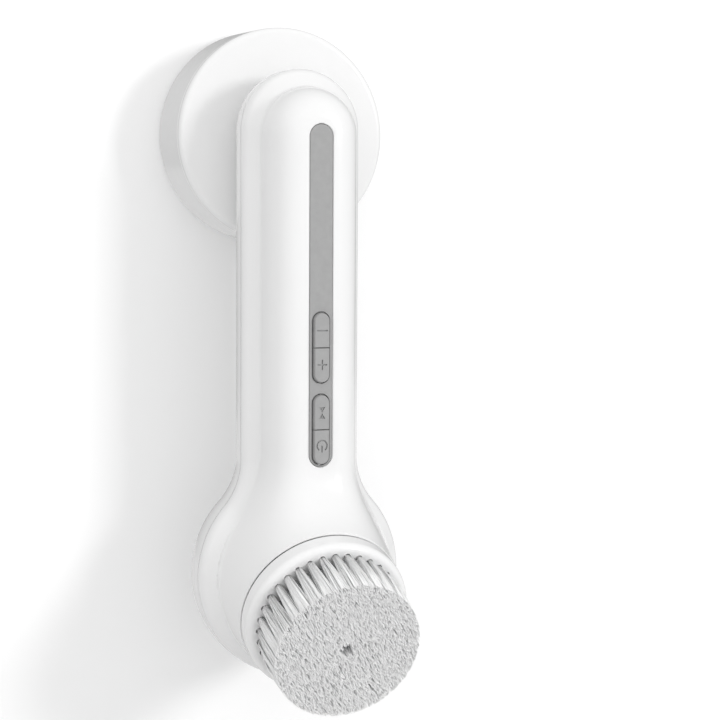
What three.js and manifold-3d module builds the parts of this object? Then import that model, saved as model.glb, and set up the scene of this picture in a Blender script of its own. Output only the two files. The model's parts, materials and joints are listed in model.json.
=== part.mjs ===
// A facial cleansing brush held on a round magnetic wall dock, in millimetres.
//
// Every piece is drawn as seen from the front of the wall: x to the right, y up, and z out of the wall.
// The last lines turn that drawing so that +z is up and the room is towards -y. The origin is the
// centre of the dock's back, on the wall.

import * as THREE from 'three';
import { mergeVertices } from 'three/addons/utils/BufferGeometryUtils.js';
import Module from 'manifold-3d';

const wasm = await Module();
wasm.setup();

// ---------------------------------------------------------------- driving dimensions

const GAP = 0.3;           // clearance between separate pieces
const WALL = 2.0;          // shell thickness

const DOCK_RADIUS = 32.8;
const DOCK_DEPTH = 23.2;   // from the wall to the dock's front face
const DOCK_FACE = 2.8;     // thickness of the dock's front plate

const HALF_WIDTH = 18.4;   // of the handle
const TOP_Y = 1.0;         // centre of the handle's round top end
const HEAD_Y = -132.8;     // centre of the round head
const HEAD_RADIUS = 31.9;
const NECK_RADIUS = 21.4;  // hollow curve between the handle's side and its head

const BACK_Z = DOCK_DEPTH + GAP;   // the handle's flat back
const BAND_Z = 36.2;               // where the back's round edge ends in a straight side
const PARTING_Z = 38.0;            // between the rear and the front shell
const SIDE_Z = 40.7;               // front edge of the straight side
const CREASE_Z = 44.8;             // foot of the ridge
const CREST_Z = 57.6;              // top of the ridge
const BACK_ROUND = 11.0;           // how far the back's round edge reaches in, along the handle
const HEAD_BACK_ROUND = 4.5;       // and round the head, whose back is fuller
const SEAM = 0.5;                  // width of the line between the two shells

const SHOULDER = 4.0;              // from the side in to the foot of the ridge
const RIDGE_HALF = HALF_WIDTH - SHOULDER;
const RIDGE_TOP_Y = -0.5;          // centre of the ridge's domed top end
const RIDGE_END_Y = -127.5;        // the ridge ends inside the collar
const CREST_HALF = 4.2;            // the flat shelf along the crest
const FLARE_START_Y = -101.4;      // below the keys the crest curves out to the collar's rim
const FLARE_RADIUS = 15.5;
const RIDGE_POWER = 2.2;           // fullness of the ridge's section

const TILT = THREE.MathUtils.degToRad(20.3);   // the brush faces a little down
const BRUSH_Y = -140.1;
const BRUSH_Z = 59.1;              // centre of the collar's rim
const BRUSH_RADIUS = 25.1;         // the ring round the tufts
const PLUG_RADIUS = 24.0;          // the part of the brush that sits in the collar
const RING_LOW = 0.6;              // underside of the ring, above the collar's rim
const RIM_RADIUS = 25.3;
const COLLAR_LENGTH = 18.0;
const COLLAR_FLARE = 0.12;         // the collar widens towards the handle by this per millimetre
const RECESS = 2.5;                // depth of the seat that the brush turns in
const CARRIER_TOP = 6.5;           // the tufted face, above the collar's rim
const TUFT_TOP = 23.6;
const TUFT_RADIUS = 21.9;

const STRIP_HALF = 3.57;
const STRIP_TOP_Y = 2.6;
const STRIP_END_Y = -98.0;
const STRIP_THICKNESS = 1.3;
const KEY_HALF = 2.5;
const KEY_RISE = 1.2;              // of a key above the strip
const KEY_LENGTH = 10.4;
const KEY_TRAVEL = 0.6;
const KEY_PAIRS_Y = [-62.7, -86.9];   // middles of the two pairs of keys

const BOARD_Z = 48.6;
const BOARD_THICKNESS = 1.2;
const BOARD_FRONT_Z = BOARD_Z + BOARD_THICKNESS;
const SWITCH_HEIGHT = 2.4;

const GEAR_MODULE = 0.6;
const PINION_TEETH = 8;
const WHEEL_TEETH = 28;
const OUTPUT_TEETH = 32;
const IDLER_ANGLE = Math.PI / 6;
const IDLER_REACH = GEAR_MODULE * (PINION_TEETH + OUTPUT_TEETH) / 2;
const IDLER_X = IDLER_REACH * Math.cos(IDLER_ANGLE);
const IDLER_Y = IDLER_REACH * Math.sin(IDLER_ANGLE);
const MOTOR_REACH = GEAR_MODULE * (PINION_TEETH + WHEEL_TEETH) / 2;
const MOTOR_Y = IDLER_Y + Math.sqrt(MOTOR_REACH ** 2 - IDLER_X ** 2);
const MOTOR_RADIUS = 8.0;

// Heights in the brush's own frame, along its axis, from the collar's rim.
const FLOOR_Z = -RECESS - WALL;
const OUTPUT_GEAR_Z = -10.4;
const WHEEL_GEAR_Z = -13.3;
const GEAR_THICKNESS = 2.0;
const PLATE_Z = -15.8;
const PLATE_THICKNESS = 1.6;
const SPINDLE_RADIUS = 3.0;
const HUB_RADIUS = 5.2;
const HUB_TOP = 3.4;

// ---------------------------------------------------------------- solids, cuts and joins

function solid(geometry) {
  const bare = geometry.clone();
  bare.deleteAttribute('normal');
  bare.deleteAttribute('uv');
  const welded = mergeVertices(bare, 1e-4);
  const corners = [];
  for (let i = 0; i < welded.index.count; i += 3) {
    const [a, b, c] = welded.index.array.slice(i, i + 3);
    if (a !== b && b !== c && c !== a) corners.push(a, b, c);
  }
  return new wasm.Manifold(new wasm.Mesh({
    numProp: 3,
    vertProperties: new Float32Array(welded.attributes.position.array),
    triVerts: new Uint32Array(corners),
  }));
}

function skin(body) {
  const { vertProperties, triVerts, numProp } = body.getMesh();
  const geometry = new THREE.BufferGeometry();
  const positions = new Float32Array(vertProperties.length / numProp * 3);
  for (let i = 0; i < positions.length / 3; i++) {
    positions.set(vertProperties.slice(i * numProp, i * numProp + 3), i * 3);
  }
  geometry.setAttribute('position', new THREE.BufferAttribute(positions, 3));
  geometry.setIndex(new THREE.BufferAttribute(triVerts, 1));
  return geometry;
}

function joined(...geometries) {
  return skin(geometries.map(solid).reduce((sum, next) => sum.add(next)));
}

function cut(geometry, ...tools) {
  return skin(tools.map(solid).reduce((rest, tool) => rest.subtract(tool), solid(geometry)));
}

// A solid through closed rings of points that run anticlockwise about the way from first to last.
function loft(rings) {
  const count = rings[0].length;
  const corners = [];
  for (let ring = 0; ring < rings.length - 1; ring++) {
    for (let i = 0; i < count; i++) {
      const a = ring * count + i;
      const b = ring * count + (i + 1) % count;
      corners.push(a, b, b + count, a, b + count, a + count);
    }
  }
  for (const [a, b, c] of cap(rings[0])) corners.push(a, c, b);
  const last = (rings.length - 1) * count;
  for (const [a, b, c] of cap(rings.at(-1))) corners.push(last + a, last + b, last + c);
  const geometry = new THREE.BufferGeometry().setFromPoints(rings.flat());
  geometry.setIndex(corners);
  return geometry;
}

// Triangles that fill one flat ring, anticlockwise about the ring's own normal.
function cap(ring) {
  const normal = new THREE.Vector3();
  ring.forEach((point, i) => normal.add(new THREE.Vector3().crossVectors(point, ring[(i + 1) % ring.length])));
  normal.normalize();
  const across = new THREE.Vector3(1, 0, 0).projectOnPlane(normal).normalize();
  const along = new THREE.Vector3().crossVectors(normal, across);
  const flat = ring.map((point) => new THREE.Vector2(point.dot(across), point.dot(along)));
  return THREE.ShapeUtils.triangulateShape(flat, []);
}

function prism(outline, low, high) {
  return loft([low, high].map((z) => outline.map(([x, y]) => new THREE.Vector3(x, y, z))));
}

// A turned piece: the profile lists [radius, height] from the axis, round the outside, to the axis.
function turned(profile, sides = 32) {
  const geometry = new THREE.LatheGeometry(profile.map(([r, h]) => new THREE.Vector2(r, h)), sides);
  return geometry.rotateX(Math.PI / 2);
}

function rod(radius, low, high, sides = 20) {
  return turned([[0, low], [radius, low], [radius, high], [0, high]], sides);
}

function tube(inner, outer, low, high, sides = 24) {
  return turned([[inner, low], [outer, low], [outer, high], [inner, high], [inner, low]], sides);
}

function block(width, height, low, high) {
  return new THREE.BoxGeometry(width, height, high - low).translate(0, 0, (low + high) / 2);
}

// ---------------------------------------------------------------- outlines

function arc(cx, cy, radius, from, to, steps) {
  const points = [];
  for (let i = 0; i <= steps; i++) {
    const angle = from + (to - from) * i / steps;
    points.push([cx + radius * Math.cos(angle), cy + radius * Math.sin(angle)]);
  }
  return points;
}

// The handle seen from the front: a round top, straight sides, hollow necks and a round head, which
// can be moved in by its own amount.
function handleOutline(inset, topY = TOP_Y, headInset = inset) {
  const hollow = NECK_RADIUS + inset;
  const head = HEAD_RADIUS - headInset;
  const { neckX, neckY, neckAngle } = neckCentre(hollow + head);
  return [
    ...arc(0, topY, HALF_WIDTH - inset, 0, Math.PI, 16),
    ...arc(-neckX, neckY, hollow, 0, -neckAngle, 5),
    ...arc(0, HEAD_Y, head, Math.PI - neckAngle, 2 * Math.PI + neckAngle, 26).slice(1),
    ...arc(neckX, neckY, hollow, Math.PI + neckAngle, Math.PI, 5).slice(1),
  ];
}

// The hollow neck curve touches the straight side and the round head. Its centre is as far from the
// head's centre as the two radii together.
function neckCentre(reach = HEAD_RADIUS + NECK_RADIUS) {
  const neckX = HALF_WIDTH + NECK_RADIUS;
  const neckRise = Math.sqrt(reach ** 2 - neckX ** 2);
  return { neckX, neckY: HEAD_Y + neckRise, neckAngle: Math.atan2(neckRise, neckX) };
}

function stadium(half, topY, endY, steps = 12) {
  return [
    ...arc(0, topY - half, half, 0, Math.PI, steps),
    ...arc(0, endY + half, half, Math.PI, 2 * Math.PI, steps),
  ];
}

// Round at the outer end, square at the inner end: one key of a pair.
function keyOutline(pairY, side, half) {
  const outer = pairY + side * KEY_LENGTH;
  const inner = pairY + side * GAP / 2;
  const start = side > 0 ? 0 : Math.PI;
  return [...arc(0, outer - side * half, half, start, start + Math.PI, 8), [-side * half, inner], [side * half, inner]];
}

function level(outline, z) {
  return outline.map(([x, y]) => new THREE.Vector3(x, y, z));
}

// ---------------------------------------------------------------- the handle's form

// The back half of the handle: a flat back, a round edge and a straight band.
function backForm(inset, floorZ, topZ) {
  const rings = [];
  const steps = inset > 0 ? 3 : 5;
  for (let i = 0; i <= steps; i++) {
    const angle = Math.PI / 2 * i / steps;
    const share = 1 - Math.sin(angle);
    const depth = (BAND_Z - floorZ) * Math.cos(angle);
    const outline = handleOutline(inset + BACK_ROUND * share, TOP_Y, inset + HEAD_BACK_ROUND * share);
    rings.push(level(outline, BAND_Z - depth));
  }
  rings.push(level(handleOutline(inset), topZ));
  return loft(rings);
}

// The straight side and sloping shoulder round the ridge, with a level top under it.
function shoulderForm(inset, startZ) {
  return loft([
    level(handleOutline(inset), startZ),
    level(handleOutline(inset), SIDE_Z - inset / 2),
    level(handleOutline(inset + 0.6), SIDE_Z + 0.9 - inset),
    level(handleOutline(inset + SHOULDER, RIDGE_TOP_Y), CREASE_Z - inset),
  ]);
}

// Half the section of the ridge: how wide it is and how far out, from its foot to its crest.
function ridgeSection(inset, half = RIDGE_HALF, crestZ = CREST_Z) {
  const steps = inset > 0 ? 3 : 6;
  const points = [];
  for (let i = 0; i <= steps; i++) {
    const angle = Math.PI / 2 * i / steps;
    const spread = Math.max(Math.cos(angle), 0) ** (2 / RIDGE_POWER);
    const rise = Math.sin(angle) ** (2 / RIDGE_POWER);
    points.push([
      CREST_HALF - inset + (half - CREST_HALF) * spread,
      CREASE_Z + (crestZ - CREASE_Z - inset) * rise,
    ]);
  }
  return points;
}

function ridgeForm(inset, footZ) {
  const section = [[RIDGE_HALF - inset, footZ], ...ridgeSection(inset)];
  return loft(section.map(([half, z]) => level([
    ...arc(0, RIDGE_TOP_Y, half, 0, Math.PI, 14),
    [-half, RIDGE_END_Y],
    [half, RIDGE_END_Y],
  ], z)));
}

const headFrame = new THREE.Matrix4().makeRotationX(TILT).setPosition(0, BRUSH_Y, BRUSH_Z);

function tilted(geometry) {
  return geometry.clone().applyMatrix4(headFrame);
}

function collarRadius(height) {
  return RIM_RADIUS - COLLAR_FLARE * height;
}

function collarForm(inset, top) {
  return tilted(turned([
    [0, -COLLAR_LENGTH],
    [collarRadius(-COLLAR_LENGTH) - inset, -COLLAR_LENGTH],
    [collarRadius(top) - inset, top],
    [0, top],
  ], 48));
}

// The hollow curve that carries the ridge out to the collar: upright sections that widen with the
// crease and rise to the rim, cut off at the collar's rim.
function fairingForm() {
  const [rimY, rimZ] = [
    BRUSH_Y + RIM_RADIUS * Math.cos(TILT),
    BRUSH_Z + RIM_RADIUS * Math.sin(TILT),
  ];
  const turn = Math.PI / 2 - TILT;
  const steps = 6;
  const stations = [];
  for (let i = 0; i <= steps; i++) {
    const angle = turn * i / steps;
    stations.push([FLARE_START_Y - FLARE_RADIUS * Math.sin(angle), CREST_Z + FLARE_RADIUS * (1 - Math.cos(angle))]);
  }
  stations.push([rimY - 0.4, rimZ], [rimY - 4, rimZ], [RIDGE_END_Y, rimZ]);
  const foot = CREASE_Z - 3;
  const body = loft(stations.map(([y, crestZ]) => {
    const side = [[creaseHalf(y), foot], ...ridgeSection(0, creaseHalf(y), crestZ)];
    const ring = [...side, ...side.toReversed().map(([x, z]) => [-x, z])];
    return ring.map(([x, z]) => new THREE.Vector3(x, y, z));
  }));
  return cut(body, tilted(block(100, 100, -0.4, 40)));
}

// Half the distance across the crease at a height on the handle, in the neck and the head.
function creaseHalf(y) {
  const hollow = NECK_RADIUS + SHOULDER;
  const { neckX, neckY, neckAngle } = neckCentre();
  if (y > neckY) return RIDGE_HALF;
  if (y > neckY - hollow * Math.sin(neckAngle)) return neckX - Math.sqrt(hollow ** 2 - (y - neckY) ** 2);
  return Math.sqrt((HEAD_RADIUS - SHOULDER) ** 2 - (y - HEAD_Y) ** 2);
}

// ---------------------------------------------------------------- materials and the scene graph

function plastic(color, roughness) {
  return new THREE.MeshStandardMaterial({ color, roughness, metalness: 0 });
}

function metal(color, roughness) {
  return new THREE.MeshStandardMaterial({ color, roughness, metalness: 1 });
}

const materials = {
  shell: () => plastic(0xf2f2f3, 0.18),
  rubber: () => plastic(0xa3a3a4, 0.6),
  darkRubber: () => plastic(0x55585c, 0.7),
  foam: () => plastic(0xe2e4e6, 0.9),
  bristle: () => plastic(0xf5f5f5, 0.7),
  board: () => plastic(0x1f6b45, 0.5),
  component: () => plastic(0x2a2b2e, 0.5),
  wrap: () => plastic(0x3f6fb0, 0.4),
  nylon: () => plastic(0xe9e6dc, 0.5),
  steel: () => metal(0xb9bcc0, 0.35),
  magnet: () => metal(0x9a9ca0, 0.25),
  brass: () => metal(0xc9a45c, 0.35),
  gold: () => metal(0xe0b860, 0.25),
};

const front = new THREE.Group();
const head = new THREE.Group();
head.applyMatrix4(headFrame);
front.add(head);

function place(parent, name, geometry, material) {
  const mesh = new THREE.Mesh(skin(solid(geometry)), material());
  mesh.name = name;
  parent.add(mesh);
  return mesh;
}

// A round-headed screw whose head's flat underside is at the origin and whose thread points to +z.
function screw(headRadius, headHeight, shankRadius, length) {
  return turned([
    [0, -headHeight],
    [headRadius * 0.7, -headHeight],
    [headRadius, -headHeight * 0.4],
    [headRadius, 0],
    [shankRadius, 0],
    [shankRadius, length - shankRadius],
    [0, length],
  ], 10);
}

// ---------------------------------------------------------------- the wall dock

const PAD_DEPTH = 0.8;
const DOCK_BACK_Z = PAD_DEPTH + 0.2;
const DOCK_PLATE = 2.0;
const DOCK_SINK = 1.3;             // depth of the sinks for the screw heads
const DOCK_SEAM_Z = DOCK_DEPTH - DOCK_FACE;
const DOCK_BOSS_REACH = 23;
const DOCK_SCREW = { head: 2.2, headHeight: 1.2, shank: 1.1, length: 9 };

function spots(count, reach, phase) {
  return arc(0, 0, reach, phase, phase + 2 * Math.PI, count).slice(0, count);
}

const dockBosses = spots(3, DOCK_BOSS_REACH, Math.PI / 2);

function dockHousing() {
  return turned([
    [DOCK_RADIUS - WALL, 0.4],
    [DOCK_RADIUS - 0.5, 0.4],
    [DOCK_RADIUS, 0.9],
    [DOCK_RADIUS, DOCK_SEAM_Z - 0.2],
    [DOCK_RADIUS - WALL, DOCK_SEAM_Z - 0.2],
    [DOCK_RADIUS - WALL, 0.4],
  ], 56);
}

function dockFace() {
  const round = 1.6;
  const edge = arc(DOCK_RADIUS - round, DOCK_DEPTH - round, round, 0, Math.PI / 2, 3);
  const disc = turned([[0, DOCK_SEAM_Z], [DOCK_RADIUS, DOCK_SEAM_Z], ...edge, [0, DOCK_DEPTH]], 56);
  const bossFoot = DOCK_BACK_Z + DOCK_PLATE + 0.2;
  const bosses = dockBosses.map(([x, y]) => rod(2.8, bossFoot, DOCK_SEAM_Z + 0.5, 14).translate(x, y, 0));
  const holes = dockBosses.map(([x, y]) => rod(DOCK_SCREW.shank + GAP, 0, 12, 10).translate(x, y, 0));
  return cut(joined(disc, ...bosses), ...holes);
}

function dockBackPlate() {
  const disc = rod(DOCK_RADIUS - WALL - GAP, DOCK_BACK_Z, DOCK_BACK_Z + DOCK_PLATE, 48);
  const holes = dockBosses.map(([x, y]) => rod(DOCK_SCREW.shank + GAP, 0, 5, 10).translate(x, y, 0));
  const sinks = dockBosses.map(([x, y]) => rod(DOCK_SCREW.head + GAP, 0, DOCK_BACK_Z + DOCK_SINK, 14).translate(x, y, 0));
  return cut(disc, ...holes, ...sinks);
}

function magnetCup(radius, low, high) {
  const cupWall = 1.2;
  return turned([
    [0, low],
    [radius, low],
    [radius, high],
    [radius - cupWall, high],
    [radius - cupWall, low + cupWall],
    [0, low + cupWall],
  ], 28);
}

place(front, 'adhesive_pad', rod(DOCK_RADIUS - 3.3, 0, PAD_DEPTH, 48), materials.foam);
place(front, 'dock_back_plate', dockBackPlate(), materials.shell);
place(front, 'dock_housing', dockHousing(), materials.shell);
place(front, 'dock_face', dockFace(), materials.shell);
place(front, 'magnet_cup', magnetCup(12, DOCK_SEAM_Z - 7, DOCK_SEAM_Z - 0.2), materials.steel);
place(front, 'dock_magnet', rod(10.4, DOCK_SEAM_Z - 5.5, DOCK_SEAM_Z - 0.3, 28), materials.magnet);
dockBosses.forEach(([x, y], i) => {
  const { head: headRadius, headHeight, shank, length } = DOCK_SCREW;
  const piece = place(front, `dock_screw_${i + 1}`, screw(headRadius, headHeight, shank, length), materials.steel);
  piece.position.set(x, y, DOCK_BACK_Z + DOCK_SINK - 0.1);
});

// ---------------------------------------------------------------- the shells

const CONTACT_X = 4.0;
const CONTACT_Y = -72.0;
const CONTACT_RADIUS = 1.5;
const boardScrewsY = [-20, -48];
const plateScrews = spots(4, 17, THREE.MathUtils.degToRad(125)).slice(0, 3);   // clear of the idler
const strip = { floorZ: CREST_Z - STRIP_THICKNESS - 0.2, gap: 0.2 };
const keys = [
  { name: 'minus', pairY: KEY_PAIRS_Y[0], side: 1 },
  { name: 'plus', pairY: KEY_PAIRS_Y[0], side: -1 },
  { name: 'direction', pairY: KEY_PAIRS_Y[1], side: 1 },
  { name: 'power', pairY: KEY_PAIRS_Y[1], side: -1 },
];

function keyMiddle(key) {
  return key.pairY + key.side * KEY_LENGTH / 2;
}

function rearShell() {
  const holes = [-CONTACT_X, CONTACT_X].map((x) => rod(CONTACT_RADIUS + GAP, 0, 30, 16).translate(x, CONTACT_Y, 0));
  const topZ = PARTING_Z - SEAM / 2;
  return cut(backForm(0, BACK_Z, topZ), backForm(WALL, BACK_Z + WALL, topZ + 1), ...holes);
}

function frontShell() {
  const startZ = PARTING_Z + SEAM / 2;
  const behind = block(100, 100, 0, startZ).translate(0, BRUSH_Y, 0);
  const collar = cut(collarForm(0, 0), behind);
  const outside = joined(shoulderForm(0, startZ), ridgeForm(0, CREASE_Z - 2), fairingForm(), collar);
  const inside = [
    shoulderForm(WALL, startZ - 1),
    ridgeForm(WALL, CREASE_Z - WALL - 2),
    collarForm(WALL, FLOOR_Z),
    tilted(rod(MOTOR_RADIUS + 1.5, -40, PLATE_Z, 24).translate(0, MOTOR_Y, 0)),
  ];
  const seat = tilted(rod(PLUG_RADIUS + 0.4, -RECESS, 5, 48));
  const boardBosses = boardScrewsY.map((y) => rod(2.2, BOARD_FRONT_Z + 0.1, CREST_Z - 1.8, 12).translate(0, y, 0));
  const plateBosses = plateScrews.map(([x, y]) =>
    tilted(rod(2.4, PLATE_Z + PLATE_THICKNESS + 0.1, FLOOR_Z + 0.3, 12).translate(x, y, 0)));
  const bushBoss = tilted(rod(7.4, -8.0, FLOOR_Z + 0.3, 24));
  const shell = joined(cut(outside, ...inside, seat), ...boardBosses, ...plateBosses, bushBoss);
  const pocket = prism(stadium(STRIP_HALF + strip.gap, STRIP_TOP_Y + strip.gap, STRIP_END_Y - strip.gap), strip.floorZ, 70);
  const stems = keys.map((key) => rod(2.0, 50, 60, 12).translate(0, keyMiddle(key), 0));
  const boardHoles = boardScrewsY.map((y) => rod(1.2, 40, 53.5, 12).translate(0, y, 0));
  const plateHoles = plateScrews.map(([x, y]) => tilted(rod(1.2, -20, -7, 12).translate(x, y, 0)));
  const bushHole = tilted(rod(5.5, -12, 3, 24));
  return cut(shell, pocket, ...stems, ...boardHoles, ...plateHoles, bushHole);
}

function gasket() {
  const low = PARTING_Z - 0.15;
  const high = PARTING_Z + 0.15;
  return cut(prism(handleOutline(0.4), low, high), prism(handleOutline(1.7), low - 1, high + 1));
}

place(front, 'rear_shell', rearShell(), materials.shell);
place(front, 'front_shell', frontShell(), materials.shell);
place(front, 'shell_gasket', gasket(), materials.darkRubber);

// ---------------------------------------------------------------- the key strip and its keys

function keypadStrip() {
  const base = prism(stadium(STRIP_HALF, STRIP_TOP_Y, STRIP_END_Y), CREST_Z - STRIP_THICKNESS, CREST_Z);
  const open = KEY_HALF + GAP;
  const reach = KEY_LENGTH + GAP;
  return cut(base, ...KEY_PAIRS_Y.map((y) => prism(stadium(open, y + reach, y - reach), 50, 70)));
}

function keyCap(key) {
  const top = CREST_Z + KEY_RISE;
  const edge = 0.5;
  const cap = loft([
    level(keyOutline(key.pairY, key.side, KEY_HALF), CREST_Z - 0.6),
    level(keyOutline(key.pairY, key.side, KEY_HALF), top - edge),
    level(keyOutline(key.pairY, key.side, KEY_HALF - edge * 0.7), top),
  ]);
  const tip = BOARD_FRONT_Z + SWITCH_HEIGHT + KEY_TRAVEL + 0.1;
  return joined(cap, rod(1.5, tip, CREST_Z, 14).translate(0, keyMiddle(key), 0));
}

place(front, 'keypad_strip', keypadStrip(), materials.rubber);
keys.forEach((key) => place(front, `key_${key.name}`, keyCap(key), materials.rubber));

// ---------------------------------------------------------------- electronics

function circuitBoard() {
  const board = prism(stadium(9, -12, -102, 8), BOARD_Z, BOARD_FRONT_Z);
  return cut(board, ...boardScrewsY.map((y) => rod(1.2, 40, 60, 12).translate(0, y, 0)));
}

function keySwitch() {
  return joined(block(4.5, 4.5, 0.1, 1.7), rod(1.1, 1.5, SWITCH_HEIGHT, 14));
}

function battery() {
  const radius = 7.0;
  const length = 50;
  return turned([[0, 0], [radius - 0.6, 0], [radius, 0.6], [radius, length - 1], [radius - 1, length],
    [2.6, length], [2.6, length + 1.2], [0, length + 1.2]], 22);
}

const BATTERY_Y = -76;
const BATTERY_Z = 37;

function batteryCradle() {
  const base = new THREE.BoxGeometry(16, 36, 6.5).translate(0, -50, 29.9);
  return cut(base, rod(7.3, -60, 60, 24).rotateX(Math.PI / 2).translate(0, -50, BATTERY_Z));
}

place(front, 'circuit_board', circuitBoard(), materials.board);
keys.forEach((key) => {
  place(front, `switch_${key.name}`, keySwitch(), materials.component).position.set(0, keyMiddle(key), BOARD_FRONT_Z);
});
boardScrewsY.forEach((y, i) => {
  place(front, `board_screw_${i + 1}`, screw(2.0, 1.1, 0.9, 4.5), materials.steel).position.set(0, y, BOARD_Z - 0.1);
});
const cell = place(front, 'battery', battery(), materials.wrap);
cell.rotation.x = -Math.PI / 2;
cell.position.set(0, BATTERY_Y, BATTERY_Z);
place(front, 'battery_cradle', batteryCradle(), materials.nylon);
place(front, 'keeper_plate', rod(7.0, BACK_Z + WALL + 0.6, BACK_Z + WALL + 2.1, 24), materials.steel);
['left', 'right'].forEach((side, i) => {
  const stud = turned([[0, 0], [CONTACT_RADIUS, 0], [CONTACT_RADIUS, 3.4], [0, 3.4]], 16);
  place(front, `charge_contact_${side}`, stud, materials.gold).position.set((i * 2 - 1) * CONTACT_X, CONTACT_Y, BACK_Z);
});

// ---------------------------------------------------------------- the drive, in the brush's frame

function gearOutline(teeth, phase) {
  const pitch = GEAR_MODULE * teeth / 2;
  const root = pitch - 1.2 * GEAR_MODULE;
  const tip = pitch + 0.8 * GEAR_MODULE;
  const rootHalf = 0.62 * GEAR_MODULE / root;
  const tipHalf = 0.28 * GEAR_MODULE / tip;
  const points = [];
  for (let tooth = 0; tooth < teeth; tooth++) {
    const middle = phase + tooth * 2 * Math.PI / teeth;
    for (const [radius, angle] of [[root, -rootHalf], [tip, -tipHalf], [tip, tipHalf], [root, rootHalf]]) {
      points.push([radius * Math.cos(middle + angle), radius * Math.sin(middle + angle)]);
    }
  }
  return points;
}

function gear(teeth, phase, low) {
  return prism(gearOutline(teeth, phase), low, low + GEAR_THICKNESS);
}

// The phase of a gear in mesh with one whose tooth phase is given, seen along the line of centres.
function meshedPhase(teeth, otherTeeth, otherPhase, towards) {
  const pitchShare = (towards - otherPhase) * otherTeeth / (2 * Math.PI);
  return towards + Math.PI - (0.5 - pitchShare) * 2 * Math.PI / teeth;
}

const motorAngle = Math.atan2(MOTOR_Y - IDLER_Y, -IDLER_X);
const idlerPhase = meshedPhase(PINION_TEETH, OUTPUT_TEETH, 0, IDLER_ANGLE);
const pinionPhase = meshedPhase(PINION_TEETH, WHEEL_TEETH, 0, motorAngle);

function idlerGear() {
  const hub = rod(1.9, WHEEL_GEAR_Z, OUTPUT_GEAR_Z + 0.5, 20);
  const body = joined(gear(WHEEL_TEETH, 0, WHEEL_GEAR_Z), gear(PINION_TEETH, idlerPhase, OUTPUT_GEAR_Z), hub);
  return cut(body, rod(0.95, -30, 0, 16));
}

function motorPinion() {
  const shaft = rod(0.9, PLATE_Z - 0.4, WHEEL_GEAR_Z + 2.2, 16);
  return joined(gear(PINION_TEETH, pinionPhase, WHEEL_GEAR_Z), shaft);
}

function motor() {
  const top = PLATE_Z - 0.2;
  const radius = MOTOR_RADIUS;
  return cut(turned([
    [0, top - 17.4],
    [2.4, top - 17.4],
    [2.4, top - 16.2],
    [radius - 0.8, top - 16.2],
    [radius, top - 15.4],
    [radius, top - 0.6],
    [radius - 0.6, top],
    [2.6, top],
    [2.6, top + 1.2],
    [0, top + 1.2],
  ], 24), rod(1.2, top - 0.9, top + 3, 12));
}

function gearPlate() {
  const plate = rod(20, PLATE_Z, PLATE_Z + PLATE_THICKNESS, 36);
  const holes = plateScrews.map(([x, y]) => rod(1.2, -20, 0, 12).translate(x, y, 0));
  const motorHole = rod(2.9, -20, 0, 24).translate(0, MOTOR_Y, 0);
  const pinHole = rod(0.95, -20, 0, 16).translate(IDLER_X, IDLER_Y, 0);
  return cut(plate, ...holes, motorHole, pinHole);
}

function spindle() {
  const shaft = rod(SPINDLE_RADIUS, OUTPUT_GEAR_Z - 0.3, -1, 24);
  return joined(shaft, rod(HUB_RADIUS, -1.8, HUB_TOP, 6));
}

function outputGear() {
  return cut(gear(OUTPUT_TEETH, 0, OUTPUT_GEAR_Z), rod(SPINDLE_RADIUS + GAP, -20, 0, 24));
}

place(head, 'motor', motor(), materials.steel).position.y = MOTOR_Y;
place(head, 'gear_plate', gearPlate(), materials.nylon);
plateScrews.forEach(([x, y], i) => {
  place(head, `plate_screw_${i + 1}`, screw(1.9, 1.0, 0.9, 8), materials.steel).position.set(x, y, PLATE_Z - 0.1);
});
place(head, 'idler_pin', rod(0.65, PLATE_Z + 0.1, -7.6, 12), materials.steel).position.set(IDLER_X, IDLER_Y, 0);
place(head, 'spindle_bush', tube(SPINDLE_RADIUS + GAP, 5.2, -8.0, -4.0), materials.brass);
place(head, 'shaft_seal', tube(SPINDLE_RADIUS + 0.2, 5.2, -3.7, -2.5), materials.darkRubber);
place(head, 'motor_pinion', motorPinion(), materials.brass).position.y = MOTOR_Y;
place(head, 'idler_gear', idlerGear(), materials.nylon).position.set(IDLER_X, IDLER_Y, 0);
place(head, 'output_gear', outputGear(), materials.nylon);
place(head, 'spindle', spindle(), materials.steel);

// ---------------------------------------------------------------- the brush head

function brushCarrier() {
  const bevel = 1.7;
  const disc = turned([
    [0, -RECESS + GAP],
    [PLUG_RADIUS - 0.4, -RECESS + GAP],
    [PLUG_RADIUS, -RECESS + GAP + 0.4],
    [PLUG_RADIUS, RING_LOW],
    [BRUSH_RADIUS, RING_LOW],
    [BRUSH_RADIUS, CARRIER_TOP - bevel],
    [BRUSH_RADIUS - bevel, CARRIER_TOP],
    [0, CARRIER_TOP],
  ], 48);
  return cut(disc, rod(HUB_RADIUS + 0.45, -5, HUB_TOP + 0.5, 6));
}

function bristleBlock() {
  const low = CARRIER_TOP + 0.2;
  const middle = (low + TUFT_TOP) / 2;
  return turned([
    [0, low],
    [TUFT_RADIUS, low],
    [TUFT_RADIUS + 1.0, middle],
    [TUFT_RADIUS + 0.3, TUFT_TOP - 1],
    [TUFT_RADIUS - 0.7, TUFT_TOP],
    [1.6, TUFT_TOP],
    [0.8, TUFT_TOP - 3],
    [0, TUFT_TOP - 3],
  ], 32);
}

place(head, 'brush_carrier', brushCarrier(), materials.shell);
place(head, 'bristle_block', bristleBlock(), materials.bristle);

// ---------------------------------------------------------------- turned so that +z is up

const group = new THREE.Group();
front.matrixAutoUpdate = false;
front.matrix.set(1, 0, 0, 0, 0, 0, -1, 0, 0, 1, 0, 0, 0, 0, 0, 1);
group.add(front);

export default group;
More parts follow.
